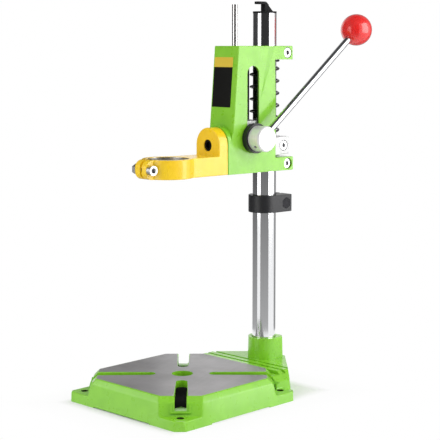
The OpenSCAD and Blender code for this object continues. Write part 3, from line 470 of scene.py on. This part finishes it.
# bare metals: the grain is the size of the noise along each axis, in metres
metals = {
    "castAlloy": {"colour": (0.50, 0.50, 0.50), "pale": (0.60, 0.60, 0.60), "rough": 0.46,
                  "grain": (0.0011, 0.0011, 0.0011), "depth": 0.00006, "strength": 0.5, "metallic": 0.5},
    "chrome": {"colour": (0.85, 0.855, 0.87), "pale": (0.88, 0.885, 0.90), "rough": 0.09,
               "grain": (0.0015, 0.0015, 0.06), "depth": 0.000008, "strength": 0.05, "spread": 0.02},
    "turnedSteel": {"colour": (0.76, 0.76, 0.75), "pale": (0.86, 0.86, 0.85), "rough": 0.40,
                    "grain": (0.0004, 0.02, 0.02), "strength": 0.25, "spread": 0.06, "turn": headTurn,
                    "metallic": 0.4},
    "rodSteel": {"colour": (0.72, 0.73, 0.75), "pale": (0.78, 0.79, 0.81), "rough": 0.19,
                 "grain": (0.0008, 0.02, 0.02), "depth": 0.000004, "strength": 0.04, "spread": 0.02,
                 "turn": (0, math.radians(-39), headTurn[2])},
    "guideSteel": {"colour": (0.70, 0.68, 0.67), "pale": (0.76, 0.74, 0.73), "rough": 0.20,
                   "grain": (0.0015, 0.0015, 0.04), "depth": 0.000004, "strength": 0.03, "spread": 0.02},
    "gearSteel": {"colour": (0.42, 0.42, 0.43), "pale": (0.55, 0.55, 0.56), "rough": 0.32,
                  "grain": (0.0004, 0.004, 0.004), "strength": 0.3, "spread": 0.06, "turn": headTurn},
    "zinc": {"colour": (0.60, 0.60, 0.61), "pale": (0.72, 0.72, 0.73), "rough": 0.30,
             "grain": (0.0006, 0.0006, 0.0006)},
    "blackOxide": {"colour": (0.018, 0.018, 0.020), "pale": (0.032, 0.032, 0.035), "rough": 0.38,
                   "grain": (0.0008, 0.0008, 0.0008)}}


def metalFinish(name, colour, pale, rough, grain, depth=0.00002, strength=0.2, spread=0.05, turn=(0, 0, 0),
                metallic=1.0):
    material, tree, shader = newFinish(name, colour, metallic, rough)
    grainNoise = noise(tree, objectPoint(tree, grain, turn=turn), 1.0, 3)
    feed(tree, shader.inputs["Base Color"], blendColours(tree, ramp(tree, grainNoise, *toneBand), colour, pale))
    feed(tree, shader.inputs["Roughness"], ramp(tree, grainNoise, *roughBand, rough - spread, rough + spread))
    setBump(tree, shader, [(grainNoise, strength, depth)])
    return material


# plastic, rubber and enamel: the grain is the scale of the noise
plains = {
    "blackPlastic": {"colour": (0.010, 0.010, 0.012), "pale": (0.016, 0.016, 0.019), "rough": 0.40, "grain": 1500,
                     "depth": 0.00004},
    "capRubber": {"colour": (0.010, 0.010, 0.011), "pale": (0.014, 0.014, 0.015), "rough": 0.70, "grain": 1500,
                  "depth": 0.00004, "specular": 0.15},
    "springBlack": {"colour": (0.012, 0.012, 0.013), "pale": (0.024, 0.024, 0.026), "rough": 0.34, "grain": 900,
                    "depth": 0.00002, "coat": 0.3},
    "redBall": {"colour": (0.74, 0.010, 0.008), "pale": (0.78, 0.013, 0.011), "rough": 0.30, "grain": 300,
                "depth": 0.000002, "coat": 1.0, "coatRoughness": 0.08, "strength": 0.02},
    "plateBlack": {"colour": (0.004, 0.004, 0.003), "pale": (0.006, 0.006, 0.005), "rough": 0.55, "grain": 1800,
                   "depth": 0.00001, "specular": 0.2},
    "plateOchre": {"colour": (0.62, 0.44, 0.020), "pale": (0.66, 0.47, 0.026), "rough": 0.36, "grain": 1800,
                   "depth": 0.00001}}


def plainFinish(name, colour, pale, rough, grain, depth, coat=0.0, coatRoughness=0.05, strength=0.3, specular=0.5,
                patches=0.4, spread=0.05):
    material, tree, shader = newFinish(name, colour, 0.0, rough, coat, coatRoughness, specular)
    point = objectPoint(tree)
    grainNoise = noise(tree, point, grain, 3)
    patchNoise = noise(tree, point, grain * patches, 2)
    feed(tree, shader.inputs["Base Color"], blendColours(tree, ramp(tree, grainNoise, *toneBand), colour, pale))
    feed(tree, shader.inputs["Roughness"], ramp(tree, patchNoise, *roughBand, rough - spread, rough + spread))
    setBump(tree, shader, [(grainNoise, strength, depth)])
    return material


finishes = {"paintedIron": baseFinish(), "paintedHead": headFinish(), "paintedArm": armFinish()}
finishes.update({name: metalFinish(name, **settings) for name, settings in metals.items()})
finishes.update({name: plainFinish(name, **settings) for name, settings in plains.items()})

nodeFinish = {
    "base_casting": "paintedIron", "base_set_screw": "blackOxide", "column_tube": "chrome",
    "column_cap": "capRubber", "stop_collar": "blackPlastic", "stop_screw": "blackOxide", "stop_nut": "blackOxide",
    "clamp_block": "castAlloy", "clamp_screw": "zinc", "clamp_nut": "zinc", "pinion_bush": "blackPlastic",
    "guide_rod": "guideSteel", "return_spring": "springBlack", "pinion_gear": "gearSteel",
    "pinion_shaft": "gearSteel", "lever_hub": "turnedSteel", "hub_set_screw": "zinc", "lever_rod": "rodSteel",
    "lever_knob": "redBall", "head_housing": "paintedHead", "feed_rack": "gearSteel", "rack_screws": "zinc",
    "sleeve_screws": "zinc", "sleeve_nuts": "zinc", "arm_bolt": "blackOxide", "collar_arm": "paintedArm",
    "collar_screw": "zinc", "collar_nut": "zinc"}
for nodeName, finishName in nodeFinish.items():
    slots = frame["nodes"][nodeName].data.materials
    for index in range(len(slots)):
        slots[index] = finishes[finishName]
print("finishes assigned")


def finishPiece(piece, finishName, body, stands=()):
    piece.data.materials.clear()
    piece.data.materials.append(finishes[finishName])
    if stands:
        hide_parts(*stands)
    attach(piece, body)


def flattened(piece):
    # the piece's mesh with its modifiers worked in, and the modifiers gone
    flat = bpy.data.meshes.new_from_object(piece.evaluated_get(bpy.context.evaluated_depsgraph_get()))
    piece.modifiers.clear()
    before, piece.data = piece.data, flat
    bpy.data.meshes.remove(before)
    flat.name = piece.name
    return flat


# castings with their edges rounded as a cast and sprayed piece has them, each by its own radius
rounding = {"base_casting": 1.2, "head_housing": 0.8, "collar_arm": 0.9, "clamp_block": 0.5, "stop_collar": 0.5,
            "column_cap": 0.35}
# angles in degrees and areas in square mm: what counts as flat, as an edge to round and as a sharp edge
crease = {"weld": 0.002, "flat": 0.6, "segments": 3, "level": 0.2, "rounded": 22, "roundArea": 12, "steep": 30,
          "shallow": 1.0, "flatArea": 40}
# places of the base that stay sharp: its foot, and the rims of the slots' mouths, the apron and its ribs,
# which are too fine for the radius
fine = {"foot": 5, "earTop": 12.5, "bossFoot": 40, "mouth": 76, "mouthHalf": 14, "apron": 72, "apronHalf": 62}


def edgeFacts(form):
    # each edge with its angle and the area of the smaller flat patch beside it
    form.faces.ensure_lookup_table()
    angles = {edge: math.degrees(edge.calc_face_angle(0)) for edge in form.edges if len(edge.link_faces) == 2}
    patchOf, patchArea = {}, []
    for start in form.faces:
        if start.index in patchOf:
            continue
        patchOf[start.index] = len(patchArea)
        area, waiting = 0, [start]
        while waiting:
            face = waiting.pop()
            area += face.calc_area()
            for edge in face.edges:
                for other in edge.link_faces if angles.get(edge, 90) < crease["level"] else ():
                    if other.index not in patchOf:
                        patchOf[other.index] = len(patchArea)
                        waiting.append(other)
        patchArea.append(area / mm ** 2)
    return [(edge, angle, min(patchArea[patchOf[face.index]] for face in edge.link_faces))
            for edge, angle in angles.items()]


def roundable(edge):
    # the other castings stand above the boss's foot, so that only the base is held back
    middle = (edge.verts[0].co + edge.verts[1].co) / 2 / mm
    across, back = abs(middle.x), middle.y
    if middle.z > fine["bossFoot"]:
        return True
    if middle.z < fine["foot"]:
        return False
    out, aside = (across + abs(back)) / math.sqrt(2), abs(across - abs(back)) / math.sqrt(2)
    if back > fine["apron"] and (across < fine["apronHalf"] or middle.z > fine["earTop"]):
        return False
    return not (middle.z > fine["earTop"] and out > fine["mouth"] and aside < fine["mouthHalf"])


def modified(piece, kind, **settings):
    modifier = piece.modifiers.new("work", kind)
    for name, value in settings.items():
        setattr(modifier, name, value)
    return flattened(piece)


def roundedCopy(nodeName, pieceName, width):
    mesh = frame["nodes"][nodeName].data.copy()
    form = bmesh.new()
    form.from_mesh(mesh)
    bmesh.ops.remove_doubles(form, verts=form.verts, dist=crease["weld"] * mm)
    bmesh.ops.dissolve_limit(form, angle_limit=math.radians(crease["flat"]), verts=form.verts, edges=form.edges)
    weight = form.edges.layers.float.new("bevel_weight_edge")
    for edge, angle, area in edgeFacts(form):
        large = angle > crease["rounded"] and area > crease["roundArea"]
        edge[weight] = 1.0 if large and roundable(edge) else 0.0
    form.to_mesh(mesh)
    form.free()
    if "custom_normal" in mesh.attributes:
        mesh.attributes.remove(mesh.attributes["custom_normal"])
    piece = bpy.data.objects.new(pieceName, mesh)
    scene.collection.objects.link(piece)
    flat = modified(piece, "BEVEL", width=width * mm, segments=crease["segments"], limit_method="WEIGHT",
                    use_clamp_overlap=False, miter_outer="MITER_ARC")
    # every steep edge is sharp, and so is a shallow one where two large flat faces meet
    form = bmesh.new()
    form.from_mesh(flat)
    for face in form.faces:
        face.smooth = True
    for edge, angle, area in edgeFacts(form):
        edge.smooth = not (angle > crease["steep"] or (area > crease["flatArea"] and angle > crease["shallow"]))
    form.to_mesh(flat)
    form.free()
    flat = modified(piece, "WEIGHTED_NORMAL", weight=100, keep_sharp=True)
    print("rounded", pieceName, len(flat.polygons), "faces")
    return piece


def camel(nodeName):
    first, *rest = nodeName.split("_")
    return first + "".join(word.capitalize() for word in rest)


for nodeName, width in rounding.items():
    piece = roundedCopy(nodeName, camel(nodeName) + "Rounded", width)
    finishPiece(piece, nodeFinish[nodeName], bodyOf[nodeName], (nodeName,))
print("castings rounded")


# return spring: a round wire on the path of the CAD node
springSize = {"coilRadius": 14.94, "wireRadius": 1.1, "turns": 6.91603, "endTurns": 0.5, "endPitch": 3.0,
              "openPitch": 13.1, "floor": 266.15, "length": 82.7, "travel": 25.5, "start": 90.0, "stepsPerTurn": 48,
              "wireSides": 14, "sharp": 50}


def newGroup(name, inputs):
    group = bpy.data.node_groups.new(name, "GeometryNodeTree")
    sockets = {}
    for label, kind, value in inputs:
        sockets[label] = group.interface.new_socket(name=label, in_out="INPUT", socket_type=kind)
        sockets[label].default_value = value
    group.interface.new_socket(name="Geometry", in_out="OUTPUT", socket_type="NodeSocketGeometry")
    return group, sockets, addNode(group, "NodeGroupInput").outputs, addNode(group, "NodeGroupOutput")


def closeGroup(group, geometry, material, out):
    real = addNode(group, "GeometryNodeRealizeInstances")
    group.links.new(geometry, real.inputs[0])
    painted = addNode(group, "GeometryNodeSetMaterial")
    painted.inputs["Material"].default_value = material
    group.links.new(real.outputs[0], painted.inputs["Geometry"])
    group.links.new(painted.outputs[0], out.inputs[0])


def bakeGroup(group, sockets, pieceName, values):
    # run the tree on an empty mesh with these values, and keep the result as a plain mesh
    piece = newPiece(pieceName, [], [])
    modifier = piece.modifiers.new("build", "NODES")
    modifier.node_group = group
    for label, value in values.items():
        modifier[sockets[label].identifier] = value
    flattened(piece)
    return piece


def springGroup(material):
    group, sockets, given, out = newGroup("springBuild", [
        ("Coil Radius", "NodeSocketFloat", 0.015), ("Wire Radius", "NodeSocketFloat", 0.001),
        ("Turns", "NodeSocketFloat", 7.0), ("End Turns", "NodeSocketFloat", 0.75),
        ("End Pitch", "NodeSocketFloat", 0.003), ("Open Pitch", "NodeSocketFloat", 0.013),
        ("Start", "NodeSocketFloat", 0.0), ("Points", "NodeSocketInt", 300), ("Sides", "NodeSocketInt", 12)])
    line = addNode(group, "GeometryNodeCurvePrimitiveLine")
    dense = addNode(group, "GeometryNodeResampleCurve")
    group.links.new(line.outputs[0], dense.inputs["Curve"])
    group.links.new(given["Points"], dense.inputs["Count"])
    share = addNode(group, "GeometryNodeSplineParameter")
    turned = product(group, share.outputs["Factor"], given["Turns"])
    angle = maths(group, "ADD", product(group, turned, math.tau), given["Start"])
    # it rises slowly over the first and the last turns, and by the open pitch between them
    last = maths(group, "SUBTRACT", given["Turns"], given["End Turns"])
    lower = maths(group, "MINIMUM", turned, given["End Turns"])
    middle = maths(group, "SUBTRACT", maths(group, "MINIMUM", turned, last), given["End Turns"])
    middle = maths(group, "MAXIMUM", middle, 0.0)
    upper = maths(group, "MAXIMUM", maths(group, "SUBTRACT", turned, last), 0.0)
    ends = product(group, maths(group, "ADD", lower, upper), given["End Pitch"])
    rise = maths(group, "ADD", ends, product(group, middle, given["Open Pitch"]))
    spot = addNode(group, "ShaderNodeCombineXYZ")
    for index, wave in enumerate(("COSINE", "SINE")):
        group.links.new(product(group, maths(group, wave, angle), given["Coil Radius"]), spot.inputs[index])
    group.links.new(rise, spot.inputs[2])
    moved = addNode(group, "GeometryNodeSetPosition")
    group.links.new(dense.outputs[0], moved.inputs["Geometry"])
    group.links.new(spot.outputs[0], moved.inputs["Position"])
    ring = addNode(group, "GeometryNodeCurvePrimitiveCircle")
    group.links.new(given["Sides"], ring.inputs["Resolution"])
    group.links.new(given["Wire Radius"], ring.inputs["Radius"])
    tube = addNode(group, "GeometryNodeCurveToMesh")
    tube.inputs["Fill Caps"].default_value = True
    group.links.new(moved.outputs[0], tube.inputs["Curve"])
    group.links.new(ring.outputs[0], tube.inputs["Profile Curve"])
    closeGroup(group, tube.outputs[0], material, out)
    return group, sockets


def buildSpring():
    size = springSize
    group, sockets = springGroup(finishes["springBlack"])
    piece = bakeGroup(group, sockets, "returnSpringWire", {
        "Coil Radius": size["coilRadius"] * mm, "Wire Radius": size["wireRadius"] * mm, "Turns": size["turns"],
        "End Turns": size["endTurns"], "End Pitch": size["endPitch"] * mm, "Open Pitch": size["openPitch"] * mm,
        "Start": math.radians(size["start"]), "Points": int(size["turns"] * size["stepsPerTurn"]),
        "Sides": size["wireSides"]})
    mesh = piece.data
    mesh.transform(headToWorld @ Matrix.Translation((0, 0, size["floor"] * mm)))
    for polygon in mesh.polygons:
        polygon.use_smooth = True
    mesh.set_sharp_from_angle(angle=math.radians(size["sharp"]))
    finishPiece(piece, "springBlack", "clamp", ("return_spring",))
    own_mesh(piece)
    print("spring wound,", len(mesh.polygons), "faces")


buildSpring()

# bare label of two plates on the leaning front of the head
labelSize = {"left": -17.4, "right": 11.6, "low": 298.5, "split": 340.2, "high": 350.4, "thickness": 0.18,
             "sunk": 0.05, "frontMid": 61.2, "frontTop": 54.1, "flareTop": 275.0, "headTop": 362.2, "corner": 0.8,
             "cornerSteps": 4}


def plateOutline(low, high, rounded):
    # corners by the angle at which their arc starts, those in rounded with an arc
    size = labelSize
    middle = Vector(((size["left"] + size["right"]) / 2, (low + high) / 2))
    outline = []
    for x, z, start in ((size["right"], high, 0), (size["left"], high, 90), (size["left"], low, 180),
                        (size["right"], low, 270)):
        if start not in rounded:
            outline.append((x, z))
            continue
        inX = x - math.copysign(size["corner"], x - middle.x)
        inZ = z - math.copysign(size["corner"], z - middle.y)
        for step in range(size["cornerSteps"] + 1):
            angle = math.radians(start + step * 90 / size["cornerSteps"])
            outline.append((inX + size["corner"] * math.cos(angle), inZ + size["corner"] * math.sin(angle)))
    return outline


def plateOnFront(pieceName, low, high, finishName, rounded):
    size = labelSize
    slope = (size["frontMid"] - size["frontTop"]) / (size["headTop"] - size["flareTop"])
    outline = plateOutline(low, high, rounded)
    form = bmesh.new()
    rings = []
    for lift in (-size["sunk"], size["thickness"]):
        ring = []
        for x, z in outline:
            front = slope * (z - size["flareTop"]) - size["frontMid"] - lift
            ring.append(form.verts.new(headToWorld @ (Vector((x, front, z)) * mm)))
        rings.append(ring)
    back, front = rings
    form.faces.new(front)
    form.faces.new(list(reversed(back)))
    for index in range(len(outline)):
        following = (index + 1) % len(outline)
        form.faces.new((back[index], back[following], front[following], front[index]))
    bmesh.ops.recalc_face_normals(form, faces=form.faces)
    piece = newPiece(pieceName, [], [])
    form.to_mesh(piece.data)
    form.free()
    finishPiece(piece, finishName, "carriage")


plateOnFront("labelBlackPlate", labelSize["low"], labelSize["split"], "plateBlack", (180, 270))
plateOnFront("labelOchrePlate", labelSize["split"], labelSize["high"], "plateOchre", (0, 90))
print("label plates placed")

scene.view_settings.view_transform = "Standard"
